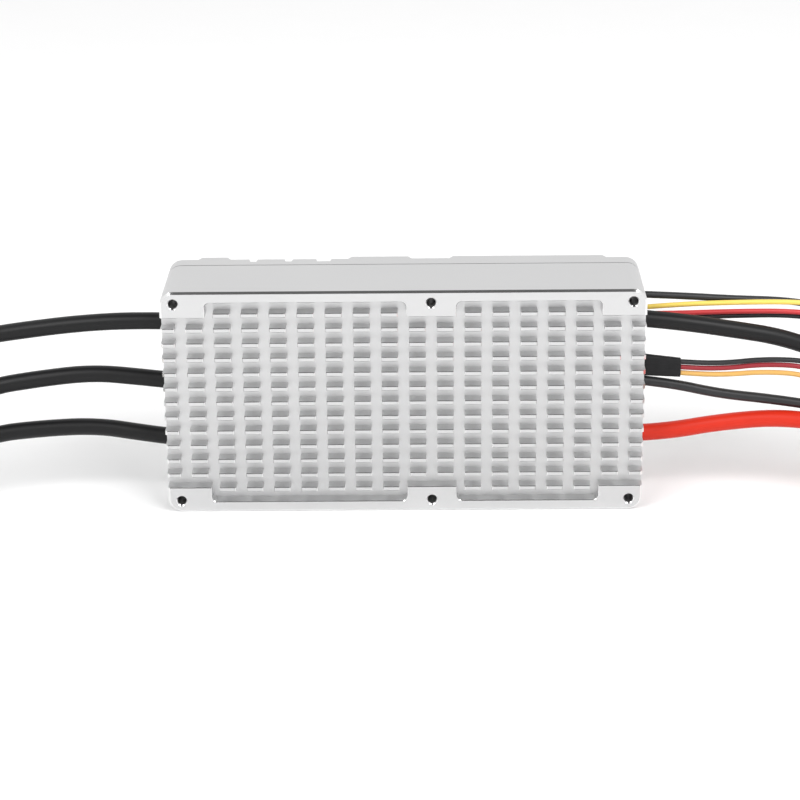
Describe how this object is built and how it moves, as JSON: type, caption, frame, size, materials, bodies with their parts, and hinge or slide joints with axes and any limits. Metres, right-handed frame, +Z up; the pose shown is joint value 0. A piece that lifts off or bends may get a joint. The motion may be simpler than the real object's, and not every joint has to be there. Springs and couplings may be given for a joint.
{
  "type": "electronic speed controller",
  "caption": "Brushless motor speed controller in a rectangular milled aluminium case: one face is a grid of short cooling blades, wires leave both ends.",
  "frame": {"origin": "under the middle of the case, on the surface that it stands on (its long edge), with the wires left out", "axes": "+X along the case, from the motor wires' end to the battery wires' end; +Y from the finned face to the cover; +Z up"},
  "size_m": [0.4871, 0.0753, 0.0853],
  "materials": {
    "case_metal": "bead-blasted satin, clear anodised",
    "cover_metal": "bead-blasted satin, clear anodised",
    "seal_rubber": "matt",
    "steel": "plain steel",
    "black_silicone": "satin silicone",
    "red_silicone": "satin silicone",
    "yellow_pvc": "satin",
    "red_pvc": "satin",
    "black_pvc": "satin",
    "shrink_black": "matt heat-shrink",
    "shrink_red": "matt heat-shrink",
    "gold": "gold-plated",
    "copper": "tinned copper",
    "board_green": "solder mask",
    "package_black": "moulded",
    "can_black": "sleeved can",
    "thermal_grey": "soft",
    "plug_black": "moulded",
    "plug_white": "moulded"
  },
  "bodies": {
    "root": {"heatsink_case": "case_metal", "cover_gasket": "seal_rubber", "back_cover": "cover_metal", "cover_screws": "steel", "motor_seals": "seal_rubber", "battery_seals": "seal_rubber", "throttle_seal": "seal_rubber", "data_seal": "seal_rubber", "program_seal": "seal_rubber", "thermal_pad": "thermal_grey", "power_transistors": "package_black", "power_board": "board_green", "board_screws": "steel", "phase_terminals": "copper", "busbar_positive": "copper", "busbar_negative": "copper", "bulk_capacitors": "can_black", "gate_drivers": "package_black", "current_shunts": "package_black", "board_standoffs": "steel", "control_board": "board_green", "control_board_screws": "steel", "microcontroller": "package_black", "interface_chips": "package_black", "regulator_inductor": "package_black", "board_header": "package_black", "signal_sockets": "plug_white", "motor_wire_a": "black_silicone", "motor_wire_b": "black_silicone", "motor_wire_c": "black_silicone", "battery_wire_negative": "black_silicone", "battery_wire_positive": "red_silicone", "throttle_wire_yellow": "yellow_pvc", "throttle_wire_red": "red_pvc", "throttle_wire_black": "black_pvc", "program_wire_black": "black_pvc", "program_wire_red": "red_pvc", "program_wire_yellow": "yellow_pvc", "data_cable": "black_pvc", "link_cable": "black_pvc", "motor_bullet_a": "gold", "motor_shrink_a": "shrink_black", "motor_bullet_b": "gold", "motor_shrink_b": "shrink_black", "motor_bullet_c": "gold", "motor_shrink_c": "shrink_black", "battery_bullet_negative": "gold", "battery_shrink_negative": "shrink_black", "battery_bullet_positive": "gold", "battery_shrink_positive": "shrink_red", "program_sleeve": "shrink_black", "throttle_plug": "plug_black", "program_plug": "plug_black", "data_plug": "plug_white", "link_plug": "plug_black", "plug_contacts": "gold"}
  },
  "joints": []
}
